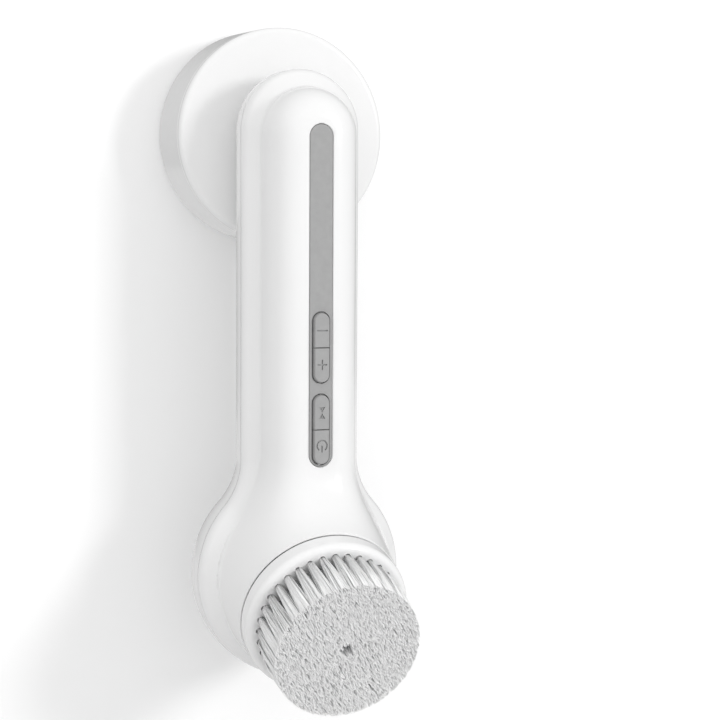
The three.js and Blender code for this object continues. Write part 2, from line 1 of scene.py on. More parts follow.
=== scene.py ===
"""The looks of a facial cleansing brush on its wall dock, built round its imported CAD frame.

Pieces are drawn in millimetres as seen from the front of the wall: x to the right, y up and z out of
the wall. The brush and its seat are drawn in a second frame, along the axis that the brush turns on.
"""

import json
import math
import random

import bmesh
import bpy
import numpy as np
from mathutils import Matrix, Vector


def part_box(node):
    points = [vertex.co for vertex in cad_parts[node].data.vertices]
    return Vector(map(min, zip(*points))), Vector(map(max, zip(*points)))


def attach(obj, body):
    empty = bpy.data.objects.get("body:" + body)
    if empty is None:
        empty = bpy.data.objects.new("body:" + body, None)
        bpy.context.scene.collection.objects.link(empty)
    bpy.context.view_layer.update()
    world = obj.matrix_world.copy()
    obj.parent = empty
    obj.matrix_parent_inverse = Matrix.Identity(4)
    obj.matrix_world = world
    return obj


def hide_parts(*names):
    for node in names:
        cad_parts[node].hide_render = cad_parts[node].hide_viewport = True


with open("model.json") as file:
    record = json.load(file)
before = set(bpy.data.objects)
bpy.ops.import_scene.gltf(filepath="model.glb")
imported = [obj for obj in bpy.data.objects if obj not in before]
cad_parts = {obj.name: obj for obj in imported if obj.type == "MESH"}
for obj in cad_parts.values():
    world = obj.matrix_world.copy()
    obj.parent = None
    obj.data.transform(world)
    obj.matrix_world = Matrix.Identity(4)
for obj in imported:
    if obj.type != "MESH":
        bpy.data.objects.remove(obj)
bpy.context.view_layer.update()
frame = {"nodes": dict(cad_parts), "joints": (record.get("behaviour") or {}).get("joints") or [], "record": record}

# ---------------------------------------------------------------- the two drawing frames

MM = 0.001
TO_WORLD = Matrix(((1, 0, 0, 0), (0, 0, -1, 0), (0, 1, 0, 0), (0, 0, 0, 1)))


def drawn(point):
    """A point of the row frame, in the drawing's millimetres."""
    return Vector((point[0], point[2], -point[1])) / MM


def drawn_box(node):
    """A CAD node's lowest and highest corner in the drawing's millimetres."""
    low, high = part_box(node)
    return drawn((low[0], high[1], low[2])), drawn((high[0], low[1], high[2]))


SPIN = next(joint for joint in frame["joints"] if joint["name"] == "brush_spin")
TILT = math.asin(-SPIN["axis"][2])
HEAD_FRAME = Matrix.Translation(drawn(SPIN["pos_m"])) @ Matrix.Rotation(TILT, 4, "X")
HEAD_ROWS = [list(row) for row in HEAD_FRAME.inverted()[:3]]

# ---------------------------------------------------------------- driving dimensions

WALL = 2.0
HALF_WIDTH = 18.4
NECK_RADIUS = 21.4
BACK_ROUND = 11.0       # how far the back's round edge reaches in, along the handle
HEAD_BACK_ROUND = 4.5   # and round the head
SHOULDER = 4.0
RIDGE_HALF = HALF_WIDTH - SHOULDER
CREST_HALF = 4.2
RIDGE_POWER = 2.2
SHOULDER_ROUND = 1.4
CREASE_ROUND = 0.7
FLARE_REACH = 13.0

REAR_LOW, REAR_HIGH = drawn_box("rear_shell")
HEAD_RADIUS = REAR_HIGH.x
HEAD_Y = REAR_LOW.y + HEAD_RADIUS
TOP_Y = REAR_HIGH.y - HALF_WIDTH
RIDGE_TOP_Y = TOP_Y - 1.5
RIDGE_END_Y = HEAD_Y + 5.3
BACK_Z = REAR_LOW.z
REAR_TOP_Z = REAR_HIGH.z
SHELL_LOW, SHELL_HIGH = drawn_box("front_shell")
FRONT_LOW_Z = SHELL_LOW.z
PARTING_Z = (REAR_TOP_Z + FRONT_LOW_Z) / 2
BAND_Z = PARTING_Z - 1.8
SIDE_Z = PARTING_Z + 2.7
CREASE_Z = PARTING_Z + 6.8

STRIP_LOW, STRIP_HIGH = drawn_box("keypad_strip")
STRIP_HALF = STRIP_HIGH.x
CREST_Z = STRIP_HIGH.z
STRIP_GAP = 0.2
STRIP_EDGE_ROUND = 0.3
KEY_NAMES = ("minus", "plus", "direction", "power")
KEY_BOXES = {name: drawn_box(f"key_{name}") for name in KEY_NAMES}
KEY_HALF = KEY_BOXES["minus"][1].x
KEY_GAP = 0.3
KEY_DRAFT = 0.22        # how far a key narrows towards its top, on each side
KEY_EDGE_ROUND = 0.3
KEY_FOOT = 0.6          # how far a key's cap goes down into the strip
KEY_STEM_RADIUS = 1.5
KEY_SQUARE_INSET = -0.05

DOCK_LOW, DOCK_HIGH = drawn_box("dock_housing")
DOCK_RADIUS = DOCK_HIGH.x
DOCK_FACE = 2.8
DOCK_SEAM_Z = drawn_box("dock_face")[1].z - DOCK_FACE
DOCK_FRONT_Z = drawn_box("dock_face")[1].z
DOCK_EDGE_ROUND = 1.6
DOCK_SEAM_ROUND = 0.25
DOCK_BOSS_REACH = 23.0
DOCK_BOSS_RADIUS = 2.8
DOCK_SCREW_RADIUS = 1.4

RIM_RADIUS = 25.3
RIM_LIP = 0.3           # the rim's own edge, which is turned and not taken from the field
RIM_ROUND = 0.22
COLLAR_FLARE = 0.12     # the collar widens towards the handle by this per millimetre
SEAT_RADIUS = 24.8
SEAT_DEPTH = 2.5
BUSH_RADIUS = 5.5
BRUSH_RADIUS = drawn_box("brush_carrier")[1].x
PLUG_RADIUS = 23.2      # the part of the brush that sits in the collar
RING_LOW = 0.6          # underside of the ring that hangs over the collar's rim
CARRIER_LOW = 0.3 - SEAT_DEPTH
CARRIER_TOP = 6.5
CARRIER_ROUND = 2.2
SOCKET_RADIUS = 5.65    # across the corners of the six-sided drive socket
SOCKET_TOP = 3.9
TUFT_TOP = 23.6
TUFT_FACE_RADIUS = 22.0
TUFT_HOLE = 1.05
TUFT_HOLE_DEPTH = 1.6
TUFT_ROOT = 1.4         # how deep in its hole a filament starts
TUFT_RINGS = ((21.4, 35), (17.9, 29), (14.4, 23), (10.9, 18), (7.4, 12), (4.0, 6))
TUFT_BASE = 0.95        # radius of a tuft in its hole
TUFT_TIP = 2.2          # and at its tip
TUFT_LEAN = 0.03
TUFT_BULGE = 0.8
FILAMENTS = 100         # in each tuft
FILAMENT_RADII = (0.10, 0.125, 0.15)
FINE_SIDES = 220        # of the largest round pieces


# ---------------------------------------------------------------- making objects


def new_object(name, points, faces, tilted=False):
    """A mesh object from points in the drawing, or along the brush's axis if tilted."""
    placed = np.array(TO_WORLD @ HEAD_FRAME if tilted else TO_WORLD)
    array = np.asarray(points, dtype=float)
    array = (array @ placed[:3, :3].T + placed[:3, 3]) * MM
    mesh = bpy.data.meshes.new(name)
    mesh.from_pydata(array.tolist(), [], faces)
    obj = bpy.data.objects.new(name, mesh)
    bpy.context.scene.collection.objects.link(obj)
    return obj


def turn_outwards(obj):
    work = bmesh.new()
    work.from_mesh(obj.data)
    bmesh.ops.recalc_face_normals(work, faces=work.faces)
    work.to_mesh(obj.data)
    work.free()


def loft(name, rings, tilted=False):
    """A closed solid through rings that have the same number of points."""
    count = len(rings[0])
    faces = [tuple(range(count)), tuple(range((len(rings) - 1) * count, len(rings) * count))]
    for ring in range(len(rings) - 1):
        for i in range(count):
            a = ring * count + i
            b = ring * count + (i + 1) % count
            faces.append((a, b, b + count, a + count))
    obj = new_object(name, [point for ring in rings for point in ring], faces, tilted)
    turn_outwards(obj)
    return obj


def level(outline, z):
    return [(x, y, z) for x, y in outline]


def prism(name, outline, low, high):
    return loft(name, [level(outline, low), level(outline, high)])


def turned(name, profile, sides=160, tilted=False, centre=(0, 0)):
    """A turned solid. Its profile of (radius, height) runs from axis to axis, or is a closed ring."""
    points = []
    rows = []
    for radius, height in profile:
        steps = sides if radius > 0 else 1
        rows.append([len(points) + i for i in range(steps)])
        for i in range(steps):
            angle = 2 * math.pi * i / sides
            x = centre[0] + radius * math.cos(angle)
            y = centre[1] + radius * math.sin(angle)
            points.append((x, y, height))
    pairs = list(zip(rows, rows[1:]))
    if profile[0][0] > 0:
        pairs.append((rows[-1], rows[0]))
    faces = []
    for low, high in pairs:
        for i in range(sides):
            j = (i + 1) % sides
            corners = [low[i % len(low)], low[j % len(low)], high[j % len(high)], high[i % len(high)]]
            faces.append(tuple(dict.fromkeys(corners)))
    obj = new_object(name, points, faces, tilted)
    turn_outwards(obj)
    return obj


def rod(radius, low, high, centre=(0, 0), tilted=False, sides=48):
    return turned("rod", [(0, low), (radius, low), (radius, high), (0, high)], sides, tilted, centre)


def rounded(corner_in, corner, corner_out, radius, steps=6):
    """Points of a round corner in a profile, between the lines that meet at it."""
    at = Vector(corner)
    before = (Vector(corner_in) - at).normalized()
    after = (Vector(corner_out) - at).normalized()
    half = before.angle(after) / 2
    centre = at + (before + after).normalized() * radius / math.sin(half)
    start = at + before * radius / math.tan(half) - centre
    end = at + after * radius / math.tan(half) - centre
    sweep = math.pi - 2 * half
    points = []
    for i in range(steps + 1):
        share = i / steps
        blend = start * math.sin((1 - share) * sweep) + end * math.sin(share * sweep)
        points.append(tuple(centre + blend / math.sin(sweep)))
    return points


def joined(objects):
    """One mesh of several separate closed ones."""
    work = bmesh.new()
    for obj in objects:
        work.from_mesh(obj.data)
    work.to_mesh(objects[0].data)
    work.free()
    for obj in objects[1:]:
        bpy.data.objects.remove(obj)
    return objects[0]


def combine(obj, operation, *others):
    """Cuts or joins closed objects into this one, and removes them."""
    for other in others:
        modifier = obj.modifiers.new("combine", "BOOLEAN")
        modifier.operation = operation
        modifier.solver = "MANIFOLD"
        modifier.object = other
    graph = bpy.context.evaluated_depsgraph_get()
    mesh = bpy.data.meshes.new_from_object(obj.evaluated_get(graph))
    obj.modifiers.clear()
    obj.data = mesh
    for other in others:
        bpy.data.objects.remove(other)
    return obj


def smooth(obj, angle=32):
    """Smooth shading between edges that are sharper than the angle, led by the larger faces."""
    obj.data.polygons.foreach_set("use_smooth", [True] * len(obj.data.polygons))
    obj.data.set_sharp_from_angle(angle=math.radians(angle))
    modifier = obj.modifiers.new("weighted normals", "WEIGHTED_NORMAL")
    modifier.keep_sharp = True
    modifier.weight = 80


def dress(obj, body, slot, material, *replaced):
    """Puts a finished piece on its body, in its material, for the CAD nodes it replaces. The slot is not used."""
    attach(obj, body)
    if replaced:
        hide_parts(*replaced)
    obj.data.materials.clear()
    obj.data.materials.append(material)
    return obj


# ---------------------------------------------------------------- outlines


def arc(cx, cy, radius, start, end, steps):
    angles = [start + (end - start) * i / steps for i in range(steps + 1)]
    return [(cx + radius * math.cos(angle), cy + radius * math.sin(angle)) for angle in angles]


def neck_centre(reach=None):
    """Centre of the hollow neck curve, and the angle at which it meets the round head."""
    x = HALF_WIDTH + NECK_RADIUS
    rise = math.sqrt((reach or HEAD_RADIUS + NECK_RADIUS) ** 2 - x**2)
    return x, HEAD_Y + rise, math.atan2(rise, x)


def handle_outline(inset, head_inset=None):
    """The handle from the front, moved in by the inset, and its head by another one if that is given."""
    hollow = NECK_RADIUS + inset
    head = HEAD_RADIUS - (inset if head_inset is None else head_inset)
    x, y, angle = neck_centre(hollow + head)
    return (
        arc(0, TOP_Y, HALF_WIDTH - inset, 0, math.pi, 64)
        + arc(-x, y, hollow, 0, -angle, 24)
        + arc(0, HEAD_Y, head, math.pi - angle, 2 * math.pi + angle, 110)[1:]
        + arc(x, y, hollow, math.pi + angle, math.pi, 24)[1:]
    )


def stadium(half, top, end):
    return arc(0, top - half, half, 0, math.pi, 28) + arc(0, end + half, half, math.pi, 2 * math.pi, 28)


def spots(count, reach, phase):
    return arc(0, 0, reach, phase, phase + 2 * math.pi, count)[:count]


# ---------------------------------------------------------------- the front shell as a distance field


def handle_distance(x, y, inset, top_y):
    """Distance outside the handle's outline, moved in by the inset."""
    neck_x, neck_y, angle = neck_centre()
    side = np.abs(x)
    straight = np.where(y > top_y, np.hypot(x, y - top_y), side) - (HALF_WIDTH - inset)
    hollow = NECK_RADIUS + inset - np.hypot(side - neck_x, y - neck_y)
    head = np.hypot(x, y - HEAD_Y) - (HEAD_RADIUS - inset)
    above = (y - HEAD_Y) * math.cos(angle) > side * math.sin(angle)
    return np.where(y > neck_y, straight, np.where(above, hollow, head))


def soft_min(a, b, reach):
    overlap = np.maximum(reach - np.abs(a - b), 0) / reach
    return np.minimum(a, b) - overlap**2 * reach / 4


def shoulder_field(x, y, z):
    """The straight side and the sloping shoulder."""
    outer = handle_distance(x, y, 0, TOP_Y)
    inner = handle_distance(x, y, SHOULDER, RIDGE_TOP_Y)
    share = np.clip(-outer / np.maximum(inner - outer, 1e-6), 0, 1)
    rise = CREASE_Z - SIDE_Z
    top = (z - SIDE_Z - rise * share) / math.hypot(1, rise / SHOULDER)
    return -soft_min(-outer, -top, SHOULDER_ROUND)


def ridge_field(x, y, z):
    """The ridge, with its domed top end and the flat shelf along its crest."""
    across = np.hypot(x, np.maximum(y - RIDGE_TOP_Y, 0))
    height = CREST_Z - CREASE_Z
    width_share = np.maximum(across - CREST_HALF, 0) / (RIDGE_HALF - CREST_HALF)
    height_share = np.maximum(z - CREASE_Z, 0) / height
    section = (width_share**RIDGE_POWER + height_share**RIDGE_POWER) ** (1 / RIDGE_POWER)
    return np.maximum((section - 1) * height, RIDGE_END_Y - y)


def along_brush(x, y, z):
    """Distance from the brush's axis, and height along it from the collar's rim."""
    a, b, c = [row[0] * x + row[1] * y + row[2] * z + row[3] for row in HEAD_ROWS]
    return np.hypot(a, b), c


def raised_field(x, y, z):
    """The ridge and the collar, with the hollow curve that carries one into the other."""
    radius, height = along_brush(x, y, z)
    collar = (radius - RIM_RADIUS + COLLAR_FLARE * height) / math.hypot(1, COLLAR_FLARE)
    return soft_min(ridge_field(x, y, z), collar, FLARE_REACH), height


def skin_field(x, y, z):
    """The front shell's outside, a little longer than it ends at its rim and its parting line."""
    raised, height = raised_field(x, y, z)
    body = soft_min(shoulder_field(x, y, z), np.maximum(raised, height - 1), CREASE_ROUND)
    return np.maximum(body, PARTING_Z - 3 - z)


def cavity_field(x, y, z):
    raised, height = raised_field(x, y, z)
    body = np.minimum(shoulder_field(x, y, z), np.maximum(raised, height + SEAT_DEPTH))
    return np.maximum(body + WALL, PARTING_Z - 6 - z)


def gradient(field, points):
    nudge = 0.02
    parts = []
    for shift in np.eye(3) * nudge:
        ahead = field(*(points + shift).T)
        behind = field(*(points - shift).T)
        parts.append((ahead - behind) / (2 * nudge))
    return np.stack(parts, axis=1)


def field_surface(name, field, low, high, step):
    """A closed mesh of a field's zero surface, with one point in each grid cell that it crosses."""
    axes = [np.arange(low[i], high[i] + step, step) for i in range(3)]
    values = field(*np.meshgrid(*axes, indexing="ij"))
    shape = [size - 1 for size in values.shape]
    corners = [(i, j, k) for i in (0, 1) for j in (0, 1) for k in (0, 1)]

    def shifted(array, corner):
        return array[tuple(slice(corner[d], corner[d] + shape[d]) for d in range(3))]

    inside = values < 0
    total = sum(shifted(inside, corner).astype(int) for corner in corners)
    crossed = (total > 0) & (total < 8)
    cells = np.argwhere(crossed)
    sums = np.zeros((len(cells), 3))
    hits = np.zeros((len(cells), 1))
    for corner in corners:
        for d in range(3):
            if corner[d]:
                continue
            other = tuple(1 if e == d else corner[e] for e in range(3))
            a = shifted(values, corner)[crossed]
            b = shifted(values, other)[crossed]
            cuts = (a < 0) != (b < 0)
            share = np.where(cuts, a / np.where(cuts, a - b, 1), 0)
            spot = np.array(corner, float) + np.outer(share, np.eye(3)[d])
            sums += spot * cuts[:, None]
            hits += cuts[:, None]
    points = np.array([axis[0] for axis in axes]) + (cells + sums / hits) * step
    for _ in range(4):
        slope = gradient(field, points)
        pull = field(*points.T)[:, None] * slope / np.maximum((slope**2).sum(1), 0.05)[:, None]
        points -= np.clip(pull, -step / 5, step / 5)

    index = np.full(shape, -1)
    index[crossed] = np.arange(len(cells))
    faces = []
    for d in range(3):
        e, f = (d + 1) % 3, (d + 2) % 3
        start = [slice(None)] * 3
        start[d], start[e], start[f] = slice(0, -1), slice(1, -1), slice(1, -1)
        ahead = list(start)
        ahead[d] = slice(1, None)
        a, b = inside[tuple(start)], inside[tuple(ahead)]
        for changed, order in ((a & ~b, 1), (~a & b, -1)):
            cell = np.argwhere(changed)
            cell[:, [e, f]] += 1
            ring = []
            for step_e, step_f in ((0, 0), (-1, 0), (-1, -1), (0, -1)):
                neighbour = cell.copy()
                neighbour[:, e] += step_e
                neighbour[:, f] += step_f
                ring.append(index[tuple(neighbour.T)])
            faces += np.stack(ring[::order], axis=1).tolist()
    obj = new_object(name, points, faces)
    turn_outwards(obj)
    return obj


def shade_from_field(obj, field, near=0.06, agreement=0.8):
    """The field's own normals where a corner lies on its surface, and ordinary ones elsewhere."""
    mesh = obj.data
    mesh.polygons.foreach_set("use_smooth", [True] * len(mesh.polygons))
    mesh.set_sharp_from_angle(angle=math.radians(32))
    places = np.empty(len(mesh.vertices) * 3)
    mesh.vertices.foreach_get("co", places)
    places = places.reshape(-1, 3) / MM
    points = np.stack((places[:, 0], places[:, 2], -places[:, 1]), axis=1)
    slope = gradient(field, points)
    slope /= np.maximum(np.linalg.norm(slope, axis=1), 1e-9)[:, None]
    exact = np.stack((slope[:, 0], -slope[:, 2], slope[:, 1]), axis=1)
    on_surface = np.abs(field(*points.T)) < near
    usual = np.empty(len(mesh.loops) * 3)
    mesh.corner_normals.foreach_get("vector", usual)
    usual = usual.reshape(-1, 3)
    corner = np.empty(len(mesh.loops), dtype=np.int32)
    mesh.loops.foreach_get("vertex_index", corner)
    agrees = (exact[corner] * usual).sum(1) > agreement
    chosen = np.where((on_surface[corner] & agrees)[:, None], exact[corner], usual)
    mesh.normals_split_custom_set(chosen.tolist())


# ---------------------------------------------------------------- materials


class Finish:
    """A material's shader, with the few node groups that its finishes share."""

    def __init__(self, name, **settings):
        self.material = bpy.data.materials.new(name)
        self.material.use_nodes = True
        self.tree = self.material.node_tree
        self.shader = self.tree.nodes["Principled BSDF"]
        for socket, value in settings.items():
            self.shader.inputs[socket.replace("_", " ")].default_value = value
        self.place = self.tree.nodes.new("ShaderNodeTexCoord").outputs["Object"]

    def link(self, output, target):
        self.tree.links.new(output, target)

    def noise(self, per_mm, detail=3.0, roughness=0.5):
        """Noise with this many features in a millimetre, from 0 to 1."""
        node = self.tree.nodes.new("ShaderNodeTexNoise")
        node.inputs["Scale"].default_value = per_mm / MM
        node.inputs["Detail"].default_value = detail
        node.inputs["Roughness"].default_value = roughness
        self.link(self.place, node.inputs["Vector"])
        return node.outputs["Fac"]

    def cells(self, per_mm, feature="F1"):
        node = self.tree.nodes.new("ShaderNodeTexVoronoi")
        node.feature = feature
        node.inputs["Scale"].default_value = per_mm / MM
        self.link(self.place, node.inputs["Vector"])
        return node.outputs["Distance"]

    def spread(self, value, low, high, start=0.3, end=0.7):
        """A value from start to end, turned into one from low to high."""
        node = self.tree.nodes.new("ShaderNodeMapRange")
        node.inputs["From Min"].default_value = start
        node.inputs["From Max"].default_value = end
        node.inputs["To Min"].default_value = low
        node.inputs["To Max"].default_value = high
        self.link(value, node.inputs["Value"])
        return node.outputs["Result"]

    def tint(self, value, low, high, start=0.3, end=0.7):
        """Colours from low to high along a value."""
        node = self.tree.nodes.new("ShaderNodeValToRGB")
        stops = node.color_ramp.elements
        stops[0].position, stops[0].color = start, (*low, 1)
        stops[1].position, stops[1].color = end, (*high, 1)
        self.link(value, node.inputs["Fac"])
        self.link(node.outputs["Color"], self.shader.inputs["Base Color"])

    def rough(self, value, low, high):
        self.link(self.spread(value, low, high), self.shader.inputs["Roughness"])

    def bump(self, value, height_mm):
        node = self.tree.nodes.new("ShaderNodeBump")
        node.inputs["Strength"].default_value = 1.0
        node.inputs["Distance"].default_value = height_mm * MM
        self.link(value, node.inputs["Height"])
        self.link(node.outputs["Normal"], self.shader.inputs["Normal"])


def grey(value):
    return (value, value, value)


MILKY = {"Subsurface_Radius": (1, 1, 1), "Subsurface_Scale": 0.002}   # light goes a little way in


def gloss_plastic(name, shade, low_rough, high_rough):
    """Moulded gloss plastic: a nearly flat surface with a faint flow in its gloss."""
    finish = Finish(name, IOR=1.49, Subsurface_Weight=0.06, **MILKY)
    finish.tint(finish.noise(0.05, 2), grey(shade - 0.006), grey(shade + 0.006))
    finish.rough(finish.noise(0.35, 4, 0.6), low_rough, high_rough)
    finish.bump(finish.noise(0.18, 2), 0.006)
    return finish.material


def silicone(name, shade, grain_mm):
    """Matt rubber with a fine moulded grain."""
    finish = Finish(name, IOR=1.42)
    finish.tint(finish.noise(0.4, 4), grey(shade * 0.96), grey(shade * 1.04))
    finish.rough(finish.noise(1.2, 3), 0.48, 0.62)
    finish.bump(finish.noise(4.0, 3), grain_mm)
    return finish.material


def filament():
    """Drawn nylon filament: bright, and a slightly different white from place to place."""
    finish = Finish("filament", IOR=1.5)
    finish.tint(finish.noise(1.6, 2), grey(0.975), grey(0.995))
    finish.rough(finish.noise(3.0, 2), 0.35, 0.5)
    return finish.material


def foam():
    finish = Finish("foam", IOR=1.4)
    cell = finish.cells(2.2)
    finish.tint(cell, (0.62, 0.63, 0.65), (0.80, 0.81, 0.82), 0.1, 0.6)
    finish.rough(finish.noise(1.5), 0.8, 0.95)
    finish.bump(cell, 0.15)
    return finish.material


def nylon():
    finish = Finish("nylon", IOR=1.5, Subsurface_Weight=0.1, **MILKY)
    finish.tint(finish.noise(0.2), (0.74, 0.72, 0.65), (0.83, 0.81, 0.75))
    finish.rough(finish.noise(0.9), 0.38, 0.52)
    finish.bump(finish.noise(1.5), 0.01)
    return finish.material


def metal(name, low, high, low_rough, high_rough, scratch_mm):
    """Plated or turned metal with cloudy colour and fine scratches."""
    finish = Finish(name, Metallic=1.0)
    finish.tint(finish.noise(0.3, 4), low, high)
    finish.rough(finish.noise(2.5, 5, 0.7), low_rough, high_rough)
    finish.bump(finish.noise(7.0, 3), scratch_mm)
    return finish.material


def solder_mask():
    """Green board lacquer, with the copper areas under it a little raised and paler."""
    finish = Finish("solder_mask", IOR=1.5)
    areas = finish.cells(0.55, "DISTANCE_TO_EDGE")
    finish.tint(areas, (0.012, 0.075, 0.035), (0.03, 0.16, 0.08), 0.04, 0.08)
    finish.rough(finish.noise(1.0), 0.25, 0.4)
    finish.bump(areas, 0.02)
    return finish.material


def component_black():
    finish = Finish("component_black", IOR=1.5)
    finish.tint(finish.noise(1.5), grey(0.02), grey(0.035))
    finish.rough(finish.noise(3.0), 0.4, 0.6)
    finish.bump(finish.noise(6.0), 0.01)
    return finish.material


def shrink_sleeve():
    """The thin plastic sleeve on a cell, slightly wavy where it has shrunk."""
    finish = Finish("shrink_sleeve", IOR=1.5, Coat_Weight=0.3)
    finish.tint(finish.noise(0.15), (0.07, 0.17, 0.42), (0.11, 0.24, 0.55))
    finish.rough(finish.noise(0.8), 0.2, 0.35)
    finish.bump(finish.noise(0.25, 2), 0.05)
    return finish.material


MATERIALS = {
    "shell_plastic": gloss_plastic("shell_gloss", 0.82, 0.13, 0.22),
    "brush_plastic": gloss_plastic("brush_gloss", 0.84, 0.10, 0.18),
    "key_rubber": silicone("key_silicone", 0.335, 0.012),
    "seal_rubber": silicone("seal_silicone", 0.16, 0.012),
    "foam_tape": foam(),
    "bristle": filament(),
    "board": solder_mask(),
    "switch_plastic": component_black(),
    "cell_wrap": shrink_sleeve(),
    "gear_nylon": nylon(),
    "steel": metal("zinc_steel", (0.50, 0.51, 0.52), (0.64, 0.65, 0.66), 0.25, 0.42, 0.004),
    "magnet_nickel": metal("nickel", (0.55, 0.54, 0.52), (0.66, 0.65, 0.63), 0.08, 0.2, 0.002),
    "brass": metal("brass", (0.60, 0.43, 0.18), (0.76, 0.57, 0.27), 0.2, 0.36, 0.004),
    "contact_gold": metal("gold_plate", (0.80, 0.56, 0.22), (0.92, 0.68, 0.30), 0.15, 0.28, 0.002),
}


# ---------------------------------------------------------------- the wall dock


def dock_pieces():
    plastic = MATERIALS["shell_plastic"]
    inner = DOCK_RADIUS - WALL
    low, high = DOCK_LOW.z, DOCK_HIGH.z
    back_corner = ((inner, low), (DOCK_RADIUS, low), (DOCK_RADIUS, high))
    seam_corner = ((DOCK_RADIUS, low), (DOCK_RADIUS, high), (inner, high))
    profile = [(inner, low), *rounded(*back_corner, 0.6)]
    profile += [*rounded(*seam_corner, DOCK_SEAM_ROUND, 4), (inner, high)]
    housing = turned("dock_housing_skin", profile, 192)
    smooth(housing)
    dress(housing, "dock", "shell_plastic", plastic, "dock_housing")

    seam, front = DOCK_SEAM_Z, DOCK_FRONT_Z
    seam_corner = ((0, seam), (DOCK_RADIUS, seam), (DOCK_RADIUS, front))
    front_corner = ((DOCK_RADIUS, seam), (DOCK_RADIUS, front), (0, front))
    profile = [(0, seam), *rounded(*seam_corner, DOCK_SEAM_ROUND, 4)]
    profile += [*rounded(*front_corner, DOCK_EDGE_ROUND, 10), (0, front)]
    face = turned("dock_face_skin", profile, 192)
    bosses = spots(3, DOCK_BOSS_REACH, math.pi / 2)
    back = drawn_box("dock_back_plate")[1].z
    combine(face, "UNION", *[rod(DOCK_BOSS_RADIUS, back + 0.2, seam + 0.5, spot) for spot in bosses])
    combine(face, "DIFFERENCE", *[rod(DOCK_SCREW_RADIUS, 0, 12, spot) for spot in bosses])
    smooth(face)
    dress(face, "dock", "shell_plastic", plastic, "dock_face")

    low, high = [corner.z for corner in drawn_box("adhesive_pad")]
    radius = drawn_box("adhesive_pad")[1].x
    lower = [(0, low), (radius - 0.1, low), (radius, low + 0.1)]
    upper = [(radius, high - 0.1), (radius - 0.1, high), (0, high)]
    pad = turned("adhesive_pad_foam", [*lower, (radius - 0.15, high / 2), *upper], 128)
    smooth(pad)
    dress(pad, "dock", "foam_tape", MATERIALS["foam_tape"], "adhesive_pad")


# ---------------------------------------------------------------- the shells


def back_form(name, inset, floor_z, top_z, steps):
    """The back half of the handle: a flat back, a round edge and a straight band."""
    rings = []
    for i in range(steps + 1):
        angle = math.pi / 2 * i / steps
        share = 1 - math.sin(angle)
        outline = handle_outline(inset + BACK_ROUND * share, inset + HEAD_BACK_ROUND * share)
        rings.append(level(outline, BAND_Z - (BAND_Z - floor_z) * math.cos(angle)))
    if inset:
        rings.append(level(handle_outline(inset), top_z))
    else:
        for along in (0.25, 0.08, 0.0):
            in_by = 0.25 - math.sqrt(0.25**2 - (0.25 - along) ** 2)
            rings.append(level(handle_outline(in_by), top_z - along))
    return loft(name, rings)


def rear_shell():
    shell = back_form("rear_shell_skin", 0, BACK_Z, REAR_TOP_Z, 22)
    inside = back_form("inside", WALL, BACK_Z + WALL, REAR_TOP_Z + 1, 8)
    holes = []
    for side in ("left", "right"):
        low, high = drawn_box(f"charge_contact_{side}")
        centre = (low + high) / 2
        holes.append(rod((high.x - low.x) / 2 + 0.3, BACK_Z - 1, BACK_Z + 4, centre[:2]))
    combine(shell, "DIFFERENCE", inside, *holes)
    smooth(shell)
    dress(shell, "handle", "shell_plastic", MATERIALS["shell_plastic"], "rear_shell")


def seam_gasket():
    """The dark gasket that shows as a fine line between the two shells."""
    low = PARTING_Z - 0.2
    high = PARTING_Z + 0.2
    gasket = prism("shell_gasket_band", handle_outline(0.12), low, high)
    combine(gasket, "DIFFERENCE", prism("inside", handle_outline(WALL - 0.3), low - 1, high + 1))
    smooth(gasket)
    dress(gasket, "handle", "seal_rubber", MATERIALS["seal_rubber"], "shell_gasket")


def front_shell():
    margin = Vector((1.5, 1.5, 1.5))
    low = SHELL_LOW - margin
    high = SHELL_HIGH + margin
    low.z = PARTING_Z - 4
    shell = field_surface("front_shell_skin", skin_field, low, high, 0.6)
    low.z = PARTING_Z - 7
    cavity = field_surface("cavity", cavity_field, low, high, 1.1)
    below = prism("below", [(-60, -200), (60, -200), (60, 60), (-60, 60)], 0, FRONT_LOW_Z)
    ahead = rod(80, -RIM_LIP, 30, tilted=True, sides=64)
    combine(shell, "DIFFERENCE", below, ahead)
    shade_from_field(shell, skin_field)
    rim = RIM_RADIUS + COLLAR_FLARE * RIM_LIP
    edge = ((rim, -RIM_LIP), (RIM_RADIUS, 0), (SEAT_RADIUS, 0))
    profile = [(SEAT_RADIUS - 1, -1.4), (rim - 0.4, -1.4), (rim, -RIM_LIP)]
    profile += [*rounded(*edge, RIM_ROUND, 5), (SEAT_RADIUS - 1, 0)]
    ring = turned("ring", profile, FINE_SIDES, tilted=True)
    combine(shell, "UNION", ring)
    seat = rod(SEAT_RADIUS, -SEAT_DEPTH, 5, tilted=True, sides=FINE_SIDES)
    pocket_floor = STRIP_LOW.z - STRIP_GAP
    outline = stadium(STRIP_HALF + STRIP_GAP, STRIP_HIGH.y + STRIP_GAP, STRIP_LOW.y - STRIP_GAP)
    pocket = prism("pocket", outline, pocket_floor, CREST_Z + 12)
    stems = [rod(2.0, CREST_Z - 8, CREST_Z + 2, key_centre(name)) for name in KEY_NAMES]
    bush = rod(BUSH_RADIUS, -12, 3, tilted=True)
    combine(shell, "DIFFERENCE", seat, cavity, pocket, *stems, bush)
    shade_from_field(shell, skin_field)
    dress(shell, "handle", "shell_plastic", MATERIALS["shell_plastic"], "front_shell")


# ---------------------------------------------------------------- the key strip


def key_centre(name):
    low, high = KEY_BOXES[name]
    return (0, (low.y + high.y) / 2)


